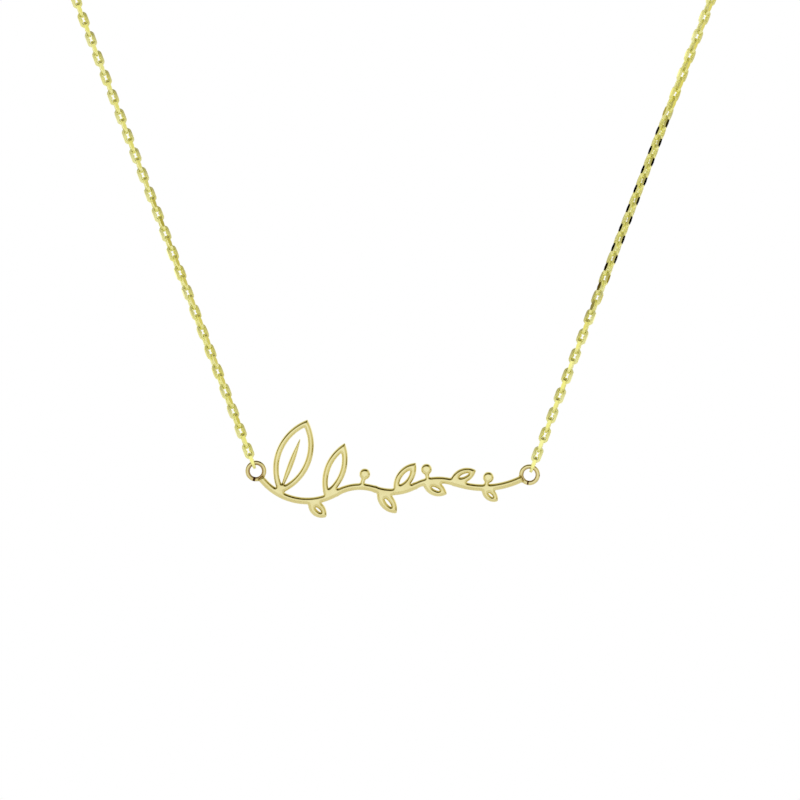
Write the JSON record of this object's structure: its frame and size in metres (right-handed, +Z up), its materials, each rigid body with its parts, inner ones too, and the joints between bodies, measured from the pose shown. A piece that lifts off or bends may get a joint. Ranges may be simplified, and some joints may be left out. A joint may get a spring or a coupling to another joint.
{
  "type": "nameplate necklace",
  "caption": "Fine gold-coloured cable chain necklace with a flat openwork nameplate held level at the front.",
  "frame": {"origin": "centre of the clasp, where the loop lies on the nape", "axes": "+Z up, +X to the right strand as seen from the front, +Y from the nameplate back to the nape"},
  "size_m": [0.1003, 0.0823, 0.1129],
  "materials": {
    "plate_gold": "polished",
    "chain_gold": "polished, cut flat on the outer sides"
  },
  "bodies": {
    "root": {"nameplate": "plate_gold", "chain_left": "chain_gold", "chain_right": "chain_gold", "clasp": "chain_gold", "end_ring": "chain_gold"}
  },
  "joints": []
}
